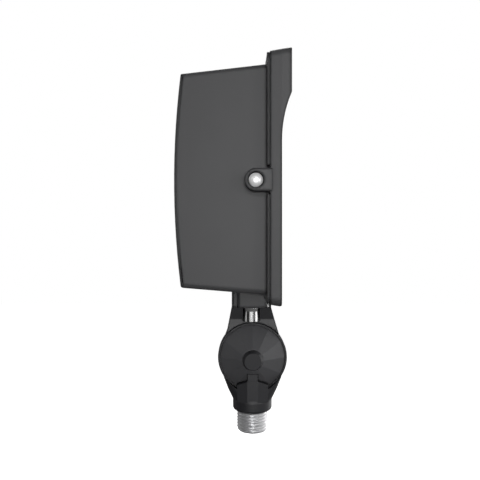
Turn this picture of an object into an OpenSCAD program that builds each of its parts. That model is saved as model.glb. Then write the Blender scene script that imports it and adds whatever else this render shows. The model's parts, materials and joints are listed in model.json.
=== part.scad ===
// Flood light on a tilting knuckle with a threaded nipple, sizes in millimetres.
// +X is the way the light shines, +Z is up and Y is the tilt axis.
// The origin is on the nipple axis, at the under face of the collar.

/* [Front frame] */
// Width of the front frame
frame_w = 166; // [160:1:176]
// Height of the front frame at its face
frame_h = 139.3; // [136:0.1:144]
// Height of the front frame's lower edge above the collar
frame_bottom = 81.1; // [80.9:0.1:82]
// Where the front face of the frame lies
frame_face_x = 13.8; // [13:0.1:15]
// Where the rear face of the frame lies
frame_rear_x = 7.6; // [7.2:0.1:7.9]
// Draft of the frame's outer sides in degrees
frame_draft = 7.3; // [4:0.1:9]
// Corner radius of the frame seen from the front
frame_corner_r = 4.75; // [3:0.05:7]
// Small chamfer round the front edges of the frame
frame_edge = 0.8; // [0.4:0.1:1.2]
// How far the hood stands out from the frame's face
hood_depth = 5.4; // [3:0.1:8]
// Radius of the hollow curve where the hood runs into the face
hood_arc_r = 66; // [55:1:90]
// How far below the frame's top the hollow curve starts
hood_drop = 50.1; // [46:0.1:56]
// Wall of the hood
hood_wall = 3.5; // [2.5:0.1:5]
// How far the edge of the light opening lies inside the edge of the glass
opening_in = 4; // [3:0.5:6]
// Corner radius of the light opening
opening_r = 5; // [2:0.5:10]
// Thickness of the frame's front wall
front_wall = 2.6; // [2:0.1:3]
// Radius of the lugs at the frame's sides
lug_r = 6.2; // [5.6:0.1:7.5]
// Rounding round the face of a lug
lug_edge_r = 1; // [0.5:0.1:1.4]
// Height of the lugs above the collar
lug_z = 149.4; // [145:0.1:155]
// Where the middle of a lug lies
lug_x = -0.1; // [-1:0.1:0.5]
// How far a lug's face lies inside the frame's side
lug_in = 0.3; // [0.1:0.1:0.6]
// Size of the small fillet where a lug meets the frame
lug_fillet = 1.4; // [0.8:0.1:2]

/* [Rear housing] */
// How far the housing's sides lie inside the frame's sides at the joint
housing_in = 7; // [6.5:0.5:9]
// How far the housing's top lies below the frame's top at the joint
top_in = 6.3; // [5.8:0.1:8]
// How far the housing's underside lies above the frame's lower edge at the joint
bottom_in = 5.7; // [5.4:0.1:7]
// Draft of the housing's sides and top in degrees
housing_draft = 4.9; // [3:0.1:6]
// Draft of the housing's underside in degrees
housing_draft_low = 4.2; // [3:0.1:5]
// Where the rear face of the housing's flange lies
joint_x = 6; // [5.4:0.1:6.4]
// Rearmost point of the bowed back
back_x = -45.4; // [-47:0.1:-44]
// Radius of the bowed back
back_arc_r = 480; // [420:5:600]
// Rounding of the four long corners of the housing
housing_corner_r = 3.3; // [2:0.1:5]
// Rounding round the back of the housing
back_edge_r = 2.3; // [1.5:0.1:3]
// Wall of the housing
wall = 3; // [2.9:0.1:3.5]
// Where the floor of the housing lies
floor_x = -31; // [-32:0.5:-30]
// How much smaller than the frame the housing's flange is on each side
flange_in = 0.7; // [0.4:0.1:1]
// Height of the tongue that stands into the frame
tongue_h = 1.4; // [1:0.1:1.6]
// Distance of the tongue from the housing's outer side
tongue_in = 0.4; // [0.3:0.1:0.6]
// Width of the gasket in the joint
gasket_w = 1.2; // [0.8:0.1:1.2]
// Depth of the gasket groove
gasket_d = 1.5; // [1:0.1:1.8]
// Distance of the gasket groove from the tongue's edge
gasket_in = 0.6; // [0.5:0.1:0.6]
// Number of cooling channels in the back
channels = 11; // [7:2:11]
// Distance from channel to channel
channel_pitch = 11; // [10:0.5:12]
// Width of a cooling channel
channel_w = 6; // [5:0.5:7]
// Where the floor of the cooling channels lies
channel_x = -37; // [-38:0.5:-35]

/* [Neck] */
// Front of the neck block
neck_front = 9.7; // [9.5:0.1:9.8]
// Rear of the neck block
neck_rear = -10.4; // [-11.5:0.1:-9.5]
// Width of the neck block
neck_w = 24; // [22:0.5:28]
// Rear of the rib behind the neck
rib_rear = -14.2; // [-16:0.1:-13]
// Width of the rib behind the neck
rib_w = 21; // [18:0.5:21.5]
// Chamfer of the neck's upright edges
neck_edge = 1.3; // [0.8:0.1:1.5]
// Under face of the neck above the collar
neck_z = 71.3; // [70.5:0.1:72]
// Front of the neck's lip
lip_front = 13; // [12.6:0.1:13.6]
// Under face of the neck's lip above the collar
lip_z = 76; // [75:0.1:77]
// Upper face of the neck's lip above the collar
lip_top = 80.6; // [79.5:0.1:80.7]
// Thickness of the thin wall that hangs from the lip down to the arm
lip_wall = 1.1; // [0.9:0.1:1.2]

/* [Knuckle] */
// Height of the tilt axis above the collar
knuckle_z = 36.4; // [36:0.1:37]
// Radius of the knuckle discs
disc_r = 23.8; // [23.4:0.1:24]
// Thickness of a knuckle disc
disc_t = 4.25; // [4.2:0.05:4.5]
// Gap between the two knuckle discs
disc_gap = 0.7; // [0.5:0.05:0.9]
// Gap between a disc and the arm that passes over its rim
rim_gap = 0.4; // [0.3:0.05:0.6]
// Rounding of a disc's outer edge
disc_edge_r = 0.7; // [0.4:0.1:1]
// Radius of the covers on the knuckle
cap_r = 21.9; // [21:0.1:22.1]
// Depth of the seat of a cover in its disc
cap_seat = 1.2; // [0.8:0.1:1.4]
// Gap round the foot of a cover in its seat
cap_room = 0.6; // [0.3:0.1:0.7]
// Corner radius of the flat top of a cover
cap_top_r = 7.5; // [7.2:0.1:9]
// How far the flat top of a cover stands from the disc
cap_h = 9.9; // [9.6:0.1:11]
// Wall of the covers
cap_wall = 1.4; // [1.2:0.1:1.5]
// Number of flat sides of a cover
cap_sides = 12; // [8:2:16]
// Radius of the plug's foot
plug_r = 7.1; // [6.4:0.1:7.1]
// Radius of the plug's face
plug_face_r = 5.6; // [4:0.1:6.2]
// Height of the plug
plug_h = 4.3; // [3:0.1:5]
// Radius of the pivot bolt
pivot_r = 4; // [3.5:0.1:4.2]
// Running clearance of the pivot bolt
pivot_fit = 0.05; // [0.02:0.01:0.1]
// Radius of the bosses round the pivot bolt
pivot_boss_r = 11.6; // [10:0.1:11.6]
// How far the pivot bosses stand out from the discs
pivot_boss_h = 1.4; // [1:0.1:1.6]
// Inner radius of the wire groove round the pivot
groove_r0 = 12; // [11.8:0.1:13]
// Outer radius of the wire groove round the pivot
groove_r1 = 18; // [16:0.1:18.4]
// Depth of the wire groove
groove_d = 2; // [1.5:0.1:2.4]
// Radius of the O-ring's middle line
oring_r = 20.2; // [20:0.1:20.6]
// Section radius of the O-ring
oring_t = 0.5; // [0.4:0.05:0.6]

/* [Upper arm] */
// Front of the arm's top
arm_top_front = 12.5; // [12.3:0.1:13]
// Rear of the arm's top
arm_top_rear = -14.2; // [-15:0.1:-14]
// Half the breadth of the arm at its shoulders
arm_shoulder = 17.6; // [17:0.1:18]
// Height of the arm's shoulders above the collar
arm_shoulder_z = 54.3; // [54:0.1:55]
// Angle above the tilt axis at which the shoulders leave the disc
shoulder_angle = 34.7; // [33:0.1:36]
// Thickness of the arm
arm_t = 12; // [11:0.5:13]
// Width of the arm's flared top
arm_top_w = 23; // [22:0.5:24]
// Height at which the arm's top starts to flare
flare_z = 63; // [62.5:0.1:64]
// Radius of the neck stud
stud_r = 4.95; // [4.5:0.05:5.1]
// Radius of the neck stud's flared top
stud_top_r = 5.85; // [5.6:0.05:6.2]
// Height of the neck stud's flared top
stud_flare_h = 2.5; // [1.5:0.1:3]
// Lower end of the neck stud above the collar
stud_z = 61.8; // [61.7:0.1:62.4]
// Where the stud's axis lies along the light's direction
stud_x = -0.8; // [-1.2:0.1:0]
// How far the stud's axis lies towards the near side
stud_y = 7.2; // [6.8:0.1:7.4]
// Clearance round the stud in its notch
stud_gap = 0.8; // [0.5:0.05:0.9]
// Radius of the stud's thread in the neck
stud_thread_r = 3.5; // [3:0.1:3.7]
// Length of the stud's thread in the neck
stud_thread_l = 12; // [8:0.5:14]
// Radius of the neck pin
pin_r = 0.75; // [0.6:0.05:0.75]
// How far the neck pin's axis lies towards the near side
pin_y = 7; // [6.5:0.1:7.5]
// Length of the neck pin
pin_l = 12; // [11:0.5:13]
// Lower end of the neck pin above the collar
pin_z = 67.4; // [67:0.1:68]

/* [Lower arm] */
// Radius of the collar
collar_r = 13.5; // [13:0.1:14]
// Height of the collar
collar_h = 6.7; // [6.6:0.1:8]
// Height of the sloping ring on the collar
ring_h = 2; // [1:0.1:3]
// How much narrower the sloping ring is at its top
ring_in = 0.6; // [0.4:0.1:1]
// Rounding of the collar's lower edge
collar_edge_r = 1.7; // [1:0.1:2]
// Half the breadth of the funnel under the disc
funnel_half = 19.9; // [19.5:0.1:20.4]
// Height at which the funnel leaves the disc
funnel_z = 23.6; // [23:0.1:24.2]
// Half the breadth of the funnel halfway down
funnel_mid_half = 16.9; // [16:0.1:17.2]
// Height of the funnel's middle section
funnel_mid_z = 14.8; // [14:0.1:15.5]
// Thickness of the funnel at the disc
funnel_t = 16; // [14:0.5:17]
// Thickness of the funnel halfway down
funnel_mid_t = 17.5; // [16:0.5:19]
// Half the width of the column's front face
column_front_half = 3.7; // [3:0.1:4.5]
// How far the column's front face stands towards the near side
column_front_y = 12.7; // [12.2:0.1:12.8]
// Half the width of the column at its side edges
column_half = 10.6; // [10:0.1:10.7]
// How far the column's side edges stand towards the near side
column_side_y = 8; // [7.4:0.1:8]
// Height of the column's top at its side edges
column_side_z = 18.6; // [18:0.1:19.4]
// Height of the column's shoulders beside its front face
column_shoulder_z = 21.6; // [20.8:0.1:22]
// Radius of the nipple, half-inch pipe
nipple_r = 10.67; // [10.67:0.01:10.67]
// Length of the nipple below the collar
nipple_l = 14.5; // [13:0.5:18]
// Radius of the nipple's bore
nipple_bore_r = 8; // [7:0.1:8.4]
// Chamfer at the nipple's end
nipple_edge = 1.2; // [0.8:0.1:1.6]
// Radius of the nipple's shank in the collar
shank_r = 10; // [9.6:0.1:10.3]
// Length of the nipple's shank in the collar
shank_l = 5; // [4:0.5:5.5]
// Depth of the relief at the mouth of the collar's thread
mouth_d = 0.6; // [0.4:0.1:1]

/* [Lens and light source] */
// How far the glass's side edges lie inside the housing's sides
glass_in = 5; // [5:0.5:6]
// How far the glass's upper and lower edges lie inside the housing's
glass_in_z = 10.65; // [10.6:0.05:11.6]
// Thickness of the lens glass
glass_t = 4; // [3:0.5:4]
// Thickness of the lens gasket
lens_gasket_t = 0.7; // [0.5:0.1:1]
// Width of the lens gasket's rim
lens_gasket_w = 3; // [2:0.1:3.4]
// Thickness of the lens clips
clip_t = 1.2; // [1:0.1:1.5]
// Width of the lens clips
clip_w = 9; // [6:0.5:10]
// How far the lens clips reach from their screws over the glass
clip_reach = 7.5; // [6:0.1:8]
// How far the lens clips reach from their screws away from the glass
clip_heel = 2.6; // [2:0.1:2.8]
// Distance of the outer lens clips from the glass's side edges
clip_end = 21.5; // [18:0.5:26]
// How far the LED plate's side edges lie inside the housing's sides
plate_in = 10; // [9:0.5:12]
// How far the LED plate's upper and lower edges lie inside the housing's
plate_in_z = 14.65; // [14:0.05:16]
// Thickness of the LED plate
plate_t = 2; // [1.5:0.1:2.5]
// Where the front of the LED plate lies
plate_x = -4; // [-5:0.1:-3.5]
// How far the LED board's edges lie inside the LED plate's
board_in = 12; // [11.5:0.5:14]
// Thickness of the LED board
board_t = 1.6; // [1.2:0.1:1.6]
// Thickness of the thermal pad under the LED board
pad_t = 0.5; // [0.3:0.1:0.6]
// Columns of LED packages
led_cols = 6; // [4:1:6]
// Rows of LED packages
led_rows = 4; // [3:1:4]
// Strip along the LED board's edges that holds no LEDs
led_edge = 1.5; // [1:0.5:4]
// Side of an LED package
led_side = 5; // [3:0.5:5]
// Height of an LED package
led_h = 0.8; // [0.5:0.1:0.8]
// Radius of a reflector cup at the LED
cup_r0 = 3.8; // [3.6:0.1:4.2]
// Half the web between the mouths of neighbouring reflector cups
cup_web = 1.15; // [0.6:0.05:2]
// Where the front of the reflector lies
reflector_x = 5; // [4.6:0.1:5.4]
// Thickness of the reflector's face
reflector_t = 2; // [1.5:0.1:2.5]
// How far the reflector's edges lie inside the LED plate's
reflector_in = 1; // [0.5:0.5:3]
// Strip along the LED board's edges that the reflector leaves free for the leads
solder_edge = 3; // [2.5:0.5:4]

/* [Driver and wiring] */
// Length of the LED driver
driver_w = 96; // [80:1:100]
// Height of the LED driver
driver_h = 42; // [36:1:44]
// Thickness of the LED driver
driver_t = 18.5; // [14:0.5:19]
// How far the driver's top lies below the leads that pass through the LED plate
driver_drop = 7; // [6:1:12]
// Thickness of the driver's bracket
bracket_t = 1.2; // [1:0.1:1.5]
// Height of the bracket's ears
ear_h = 16; // [12:1:20]
// How far the bracket's ears reach beyond the driver's ends
ear_l = 10; // [9:0.5:11]
// Height of the posts under the bracket's ears
driver_post_h = 3; // [2:0.5:4]
// Radius of the posts under the bracket's ears
driver_post_r = 3.5; // [3:0.1:4]
// Distance of these posts from the driver's ends
driver_post_out = 6; // [5.5:0.5:6.5]
// Width of the terminal block
terminal_w = 27; // [24:1:30]
// Height of the terminal block
terminal_h = 14; // [12:1:16]
// Depth of the terminal block
terminal_d = 13; // [10:1:15]
// Height of the terminal block's middle above the collar
terminal_z = 112; // [110:1:114]
// Distance between the terminals
terminal_pitch = 8; // [7:0.5:9]
// Radius of a lead with its insulation
lead_r = 1; // [0.8:0.1:1.2]
// Half the distance between the two LED leads
lead_y = 6; // [5:0.5:8]
// How far the LED leads pass above the LED board
lead_up = 5; // [4:0.5:6]
// Where the breather vent sits along the light's direction
vent_x = -24; // [-25:1:-18]
// How far the breather vent sits from the middle
vent_y = 40; // [30:1:50]
// Radius of the breather vent's thread
vent_r = 3; // [2.5:0.1:3.5]
// Height of the ground screw above the collar
ground_z = 97; // [95:1:99]
// How far the ground screw sits from the middle
ground_y = 20; // [17:1:25]

/* [Screws] */
// Radius of the side screws' shanks
side_screw_r = 1.95; // [1.9:0.01:2]
// Radius of the side screws' heads
side_head_r = 3.8; // [3.6:0.1:4]
// Height of the side screws' heads
side_head_h = 2.2; // [2:0.1:2.3]
// Radius of the seat round a side screw's head
side_seat_r = 4.4; // [4.2:0.1:4.6]
// Depth of the seat of a side screw's head
side_seat_d = 2.4; // [2.4:0.1:3]
// Width across the flats of the side screws' sockets
side_socket = 2.5; // [2:0.5:2.5]
// Length of the side screws' shanks
side_screw_l = 13; // [10:1:14]
// Radius of the small screws' shanks
small_r = 1.45; // [1.4:0.01:1.5]
// Radius of the small screws' heads
small_head_r = 2.7; // [2.5:0.1:2.8]
// Height of the small screws' heads
small_head_h = 1.7; // [1.4:0.1:2]
// Length of the screws that hold the LED plate
plate_screw_l = 12; // [8:1:14]
// Length of the screws that hold the driver's bracket
driver_screw_l = 6.5; // [6:0.5:7]
// Radius of the neck screws' shanks
neck_screw_r = 1.95; // [1.9:0.01:2]
// Clearance of screws in their holes
screw_fit = 0.05; // [0.03:0.01:0.1]

/* [Hidden] */
$fn = 72;
// Overshoot of cutting shapes
e = 1;
// Gap between neighbouring loose pieces
gap = 0.3;
// How far a rounding stops short of touching a face, which keeps thin slivers away
blend = 0.06;

frame_zc = frame_bottom + frame_h / 2;
frame_top = frame_bottom + frame_h;
hood_x = frame_face_x + hood_depth;
hood_z = frame_top - hood_drop;
frame_run = frame_face_x - frame_rear_x;
frame_shrink = frame_run * tan(frame_draft);
housing_w = frame_w - 2 * housing_in;
housing_top = frame_top - top_in;
housing_bottom = frame_bottom + bottom_in;
housing_h = housing_top - housing_bottom;
light_zc = (housing_top + housing_bottom) / 2;
glass_w = housing_w - 2 * glass_in;
glass_h = housing_h - 2 * glass_in_z;
glass_room = 1;
glass_corner_r = 2;
opening_w = glass_w - 2 * opening_in;
opening_h = glass_h - 2 * opening_in;
plate_w = housing_w - 2 * plate_in;
plate_h = housing_h - 2 * plate_in_z;
plate_corner_r = 4;
board_w = plate_w - 2 * board_in;
board_h = plate_h - 2 * board_in;
board_corner_r = 2;
pitch_y = (board_w - 2 * led_edge) / led_cols;
pitch_z = (board_h - 2 * led_edge) / led_rows;
cup_r1 = min(pitch_y, pitch_z) / 2 - cup_web;
lug_y = frame_w / 2 - lug_in;
lug_seat_y = housing_w / 2 + gap;
tongue_x = frame_rear_x + tongue_h;
pocket_x = frame_face_x - front_wall;
glass_x = pocket_x - lens_gasket_t;
glass_rear = glass_x - glass_t;
flange_w = frame_w - 2 * frame_shrink - 2 * flange_in;
flange_h = frame_h - 2 * frame_shrink - 2 * flange_in;
tongue_w = housing_w - 2 * tongue_in;
tongue_tall = housing_h - 2 * tongue_in;
tongue_corner_r = housing_corner_r - tongue_in;
head_tall = 2 * frame_top;
boss_r = 4;
boss_y = plate_w / 2 - boss_r - 1;
boss_z = plate_h / 2 - boss_r;
post_r = 3.4;
post_y = boss_y - boss_r - 2 * post_r;
post_z = boss_z - post_r / 2;
reflector_corner_r = 3;
clip_boss_r = 2.8;
clip_z = glass_h / 2 + clip_boss_r + glass_room + 0.2;
clip_pitch = (glass_w - 2 * clip_end) / 3;
lug_pad_r = lug_r - 1.2;
side_boss_r = 5;
side_boss_l = 7;
side_dome_r = 5.2;
socket_d = 1.3;
small_socket_r = 1.1;
hole_end = 0.6;
lead_z = light_zc + board_h / 2 + lead_up;
driver_z = lead_z - driver_drop - driver_h / 2;
pad_x = plate_x + pad_t;
led_x = pad_x + board_t;
wire_y = 3.5;
wire_x = -1;
wire_r = 3.2;
neck_screw_x = [-6.5, 4.5];
neck_screw_y = 5.8;
neck_boss_r = 4.4;
neck_boss_top = housing_bottom + wall + 3.2;
neck_screw_low = neck_z - 4.8;
neck_head_r = 3.6;
neck_head_h = 2.6;
neck_socket_r = 1.6;
pin_x = (neck_front + arm_top_front - lip_wall) / 2;
wire_bore_r = 1.5;
wire_bore_pitch = 4.4;
wire_bore_y = 2.2;
wire_pocket_w = 12;
wire_pocket_t = 4.6;
wire_pocket_h = 2.5;
vent_seat_r = 6.2;
vent_hex_r = 5.5;
vent_hex_h = 1.2;
vent_nut_r = 4.6;
vent_nut_h = 1.7;
vent_bore_r = 1;
ground_screw_l = 2.8;
ear_gap = 0.4;
driver_corner_r = 3;
terminal_screw_r = 2;
terminal_wire_r = 1.8;
terminal_hole_d = 4;
terminal_hole_x = 5;
lead_rise = 4.2;
lead_front = 2.6;
lead_turn = 4;
plug_shank_r = 2.95;
plug_shank_l = 1.6;
plug_hole_r = 3;
skin = 0.2;
disc_in = disc_gap / 2;
disc_out = disc_in + disc_t;
cap_foot = disc_out - cap_seat;
cap_foot_r = cap_r * cos(180 / cap_sides);
cap_flat_r = cap_top_r * cos(180 / cap_sides);
column_top_z = knuckle_z - cap_foot_r + (column_front_y - disc_out) * (cap_foot_r - cap_flat_r) / cap_h;
shaft_top = knuckle_z - (groove_r0 + groove_r1) / 2;
cap_top = disc_out + cap_h;
boss_out = disc_out + pivot_boss_h;
washer_t = 1.5;
washer_r = 7;
bolt_af = 13;
bolt_head_h = 4.4;
nut_h = 4.4;
bolt_over = 0.4;
friction_r0 = 4.4;
friction_r1 = 11;
friction_t = 1.6;
friction_seat = 1.2;
arm_clear_r = disc_r + rim_gap;
shaft_y = 4.6;
shaft_r = 3.6;

function side_half(x) = housing_w / 2 - (joint_x - x) * tan(housing_draft);
function top_z(x) = housing_top - (joint_x - x) * tan(housing_draft);
function low_z(x) = housing_bottom + (joint_x - x) * tan(housing_draft_low);

// A flat shape in X and Z, given a width along Y
module along_y(width) {
    rotate([90, 0, 0])
        linear_extrude(height = width, center = true)
            children();
}

// A flat shape in Y and Z, given a thickness along X
module along_x(x0, x1) {
    translate([x0, 0, 0])
        rotate([90, 0, 90])
            linear_extrude(height = x1 - x0)
                children();
}

// A round bar along X
module rod_x(x0, x1, r) {
    translate([x0, 0, 0])
        rotate([0, 90, 0])
            cylinder(h = x1 - x0, r = r);
}

// A round bar along Y
module rod_y(y0, y1, r) {
    translate([0, y0, 0])
        rotate([-90, 0, 0])
            cylinder(h = y1 - y0, r = r);
}

// A rectangle with round corners
module round_rect(w, h, r) {
    square([w, h - 2 * r], center = true);
    square([w - 2 * r, h], center = true);
    for (sx = [-1, 1], sy = [-1, 1])
        translate([sx * (w / 2 - r), sy * (h / 2 - r)])
            circle(r = r);
}

// A rectangular frame
module ring_rect(w, h, r, t) {
    difference() {
        round_rect(w, h, r);
        round_rect(w - 2 * t, h - 2 * t, max(r - t, 0.5));
    }
}

// Height of the flat seat of the breather vent
function vent_seat_z() = low_z(vent_x - vent_seat_r);

// What is cut from the long edge between two points to round it
module edge_cut(p, q, sy, sz, r) {
    d = q - p;
    translate(p)
        rotate([0, acos(d[2] / norm(d)), atan2(d[1], d[0])])
            difference() {
                translate([min(sz * r, -sz * e), min(-sy * r, sy * e), -e])
                    cube([r + e, r + e, norm(d) + 2 * e]);
                translate([sz * r, -sy * r, -2 * e])
                    cylinder(h = norm(d) + 4 * e, r = r);
            }
}

// What is cut from a flat corner between the directions a and b to round it
module corner_cut(p, a, b, r) {
    half = acos(a * b) / 2;
    reach = r / tan(half);
    mid = (a + b) / norm(a + b);
    c = p + mid * r / sin(half);
    difference() {
        polygon([p - e * mid, p + reach * a, c, p + reach * b]);
        translate(c)
            circle(r = r);
    }
}

// Places around the light opening, mirrored to four corners
module four(y, z) {
    for (sy = [-1, 1], sz = [-1, 1])
        translate([0, sy * y, light_zc + sz * z])
            children();
}

// Places of the lens clips
module clip_places() {
    for (sz = [-1, 1], i = [-1.5 : 1 : 1.5])
        translate([0, i * clip_pitch, light_zc + sz * clip_z])
            children();
}

// A block between the housing's drafted sides, set in by t
module housing_block(t, x0, x1) {
    intersection() {
        along_y(housing_w + 2 * e)
            polygon([[x0, low_z(x0) + t], [x1, low_z(x1) + t], [x1, top_z(x1) - t], [x0, top_z(x0) - t]]);
        linear_extrude(height = head_tall)
            polygon([[x0, t - side_half(x0)], [x1, t - side_half(x1)], [x1, side_half(x1) - t],
                     [x0, side_half(x0) - t]]);
    }
}

// The bow of the back as a flat shape, with its two corners rounded
module back_bow() {
    mid_x = back_x + back_arc_r;
    half_h = housing_h / 2;
    lean = asin((half_h - 4) / back_arc_r);
    corner_x = mid_x - back_arc_r * cos(lean);
    difference() {
        translate([mid_x, light_zc])
            circle(r = back_arc_r, $fn = 720);
        corner_cut([corner_x, top_z(corner_x)], [cos(housing_draft), sin(housing_draft)],
                   [-sin(lean), -cos(lean)], back_edge_r);
        corner_cut([corner_x, low_z(corner_x)], [cos(housing_draft_low), -sin(housing_draft_low)],
                   [-sin(lean), cos(lean)], back_edge_r);
    }
}

// Rounds the two upright rear edges along the bow
module back_side_cut(side) {
    mid_x = back_x + back_arc_r;
    y = side_half(back_x + back_edge_r);
    sweep = 2 * asin(housing_h / 2 / back_arc_r) + 0.4;
    translate([mid_x, 0, light_zc])
        rotate([90, 0, 0])
            rotate([0, 0, 180 - sweep / 2])
                rotate_extrude(angle = sweep, $fn = 720)
                    corner_cut([back_arc_r + blend, -side * y], [-1, 0], [0, side], back_edge_r);
}

module housing_shell() {
    difference() {
        intersection() {
            housing_block(0, back_x - e, joint_x + e);
            along_y(housing_w + 4 * e)
                back_bow();
        }
        for (s = [-1, 1]) {
            edge_cut([back_x, s * side_half(back_x), top_z(back_x)],
                     [joint_x, s * side_half(joint_x), top_z(joint_x)], s, 1, housing_corner_r);
            edge_cut([back_x, s * side_half(back_x), low_z(back_x)],
                     [joint_x, s * side_half(joint_x), low_z(joint_x)], s, -1, housing_corner_r);
            back_side_cut(s);
        }
    }
}

// The flange's tongue as a flat shape, centred on the housing
module tongue_flat(grow) {
    round_rect(tongue_w + 2 * grow, tongue_tall + 2 * grow, tongue_corner_r + grow);
}

// The gasket in the tongue's groove as a flat shape
module gasket_flat() {
    ring_rect(tongue_w - 2 * gasket_in, tongue_tall - 2 * gasket_in, tongue_corner_r - gasket_in, gasket_w);
}

// A block of the neck with its four upright edges chamfered
module neck_block(x0, x1, half, z0, z1) {
    c = neck_edge;
    translate([0, 0, z0])
        linear_extrude(height = z1 - z0)
            polygon([[x0, c - half], [x0 + c, -half], [x1 - c, -half], [x1, c - half],
                     [x1, half - c], [x1 - c, half], [x0 + c, half], [x0, half - c]]);
}

module neck() {
    top = low_z(joint_x) + wall - gap;
    neck_block(neck_rear, neck_front, neck_w / 2, neck_z, lip_top);
    neck_block(neck_rear, joint_x, neck_w / 2, neck_z, top);
    neck_block(rib_rear, 0, rib_w / 2, neck_z, top);
    neck_block(0, lip_front, rib_w / 2, lip_z, lip_top);
    translate([arm_top_front - lip_wall, -rib_w / 2, neck_z])
        cube([lip_wall, rib_w, lip_z - neck_z + e]);
}

module rear_housing() {
    color([0.2, 0.2, 0.21])
    difference() {
        union() {
            housing_shell();
            translate([0, 0, frame_zc])
                along_x(joint_x, frame_rear_x)
                    round_rect(flange_w, flange_h, frame_corner_r - flange_in);
            translate([0, 0, light_zc])
                along_x(frame_rear_x - e, tongue_x)
                    tongue_flat(0);
            neck();
            for (s = [-1, 1])
                translate([lug_x, 0, lug_z])
                    scale([1, s, 1])
                        rod_y(housing_w / 2 - wall, lug_seat_y, lug_pad_r);
        }
        difference() {
            housing_block(wall, floor_x, tongue_x + e);
            four(boss_y, boss_z)
                rod_x(floor_x - e, plate_x - plate_t, boss_r);
            for (s = [-1, 1])
                translate([lug_x, 0, lug_z])
                    scale([1, s, 1])
                        rod_y(housing_w / 2 - wall - side_boss_l, housing_w / 2, side_boss_r);
            for (x = neck_screw_x)
                translate([x, neck_screw_y, housing_bottom - e])
                    cylinder(h = neck_boss_top - housing_bottom + e, r = neck_boss_r);
            for (s = [-1, 1])
                translate([0, s * (driver_w / 2 + driver_post_out), driver_z])
                    rod_x(floor_x - e, floor_x + driver_post_h, driver_post_r);
        }
        translate([0, 0, light_zc])
            along_x(tongue_x - gasket_d, tongue_x + e)
                gasket_flat();
        for (i = [0 : channels - 1])
            translate([2 * back_x, (i - (channels - 1) / 2) * channel_pitch - channel_w / 2, 0])
                cube([channel_x - 2 * back_x, channel_w, head_tall]);
        four(boss_y, boss_z)
            rod_x(plate_x - plate_screw_l - hole_end, plate_x, small_r + screw_fit);
        for (s = [-1, 1]) {
            translate([lug_x, 0, lug_z])
                scale([1, s, 1])
                    rod_y(lug_y - side_seat_d - side_screw_l - gap, frame_w / 2, side_screw_r + screw_fit);
            translate([joint_x - e, min(s * lug_seat_y, s * frame_w / 2), lug_z - lug_r - lug_fillet - gap])
                cube([frame_rear_x - joint_x + e, frame_w / 2 - lug_seat_y, 2 * (lug_r + lug_fillet + gap)]);
            translate([floor_x + driver_post_h, s * (driver_w / 2 + driver_post_out), driver_z])
                rod_x(bracket_t - driver_screw_l - hole_end, e, small_r + screw_fit);
        }
        for (x = neck_screw_x)
            translate([x, neck_screw_y, neck_z - e])
                cylinder(h = neck_boss_top - neck_z + 2 * e, r = neck_screw_r + screw_fit);
        translate([wire_x, wire_y, neck_z - e])
            cylinder(h = neck_boss_top - neck_z, r = wire_r);
        translate([stud_x, -stud_y, neck_z - e])
            cylinder(h = stud_thread_l + e, r = stud_thread_r + screw_fit);
        translate([pin_x, -pin_y, lip_z - e])
            cylinder(h = pin_z + pin_l - lip_z + e + skin, r = pin_r + screw_fit);
        translate([vent_x, vent_y, housing_bottom - e]) {
            cylinder(h = wall + 5 * e, r = vent_r + screw_fit);
            cylinder(h = vent_seat_z() - housing_bottom + e, r = vent_seat_r);
        }
        translate([floor_x, -ground_y, ground_z])
            rod_x(-ground_screw_l - skin, e, small_r + screw_fit);
    }
}

// The frame's outer body with its draft and hood
module frame_body() {
    run_top = hood_x - frame_rear_x;
    hood_top = frame_top + hood_depth * tan(frame_draft);
    low_rear = frame_bottom + frame_shrink;
    top_rear = frame_top - frame_shrink;
    half = frame_w / 2;
    half_rear = half - frame_shrink;
    c = frame_edge;
    difference() {
        intersection() {
            along_y(frame_w + 2 * e)
                difference() {
                    polygon([[frame_rear_x, low_rear], [frame_face_x - c, frame_bottom],
                             [frame_face_x, frame_bottom + c], [frame_face_x, hood_z], [hood_x, hood_z],
                             [hood_x, hood_top - c], [hood_x - c, hood_top], [frame_rear_x, top_rear]]);
                    translate([frame_face_x + hood_arc_r, hood_z])
                        circle(r = hood_arc_r, $fn = 360);
                }
            linear_extrude(height = head_tall)
                polygon([[frame_rear_x, -half_rear], [frame_face_x, -half], [hood_x - c, -half],
                         [hood_x, c - half], [hood_x, half - c], [hood_x - c, half],
                         [frame_face_x, half], [frame_rear_x, half_rear]]);
        }
        for (s = [-1, 1]) {
            edge_cut([frame_rear_x, s * half_rear, top_rear], [frame_face_x, s * half, frame_top],
                     s, 1, frame_corner_r);
            edge_cut([frame_face_x, s * half, frame_top], [hood_x, s * half, hood_top], s, 1, frame_corner_r);
            edge_cut([frame_rear_x, s * half_rear, low_rear], [frame_face_x, s * half, frame_bottom],
                     s, -1, frame_corner_r);
        }
    }
}

// Half the section of a lug, from its middle outwards
module lug_flat() {
    square([lug_r, lug_y - lug_edge_r - lug_seat_y]);
    square([lug_r - lug_edge_r, lug_y - lug_seat_y]);
    translate([lug_r - lug_edge_r, lug_y - lug_edge_r - lug_seat_y])
        circle(r = lug_edge_r);
}

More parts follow.
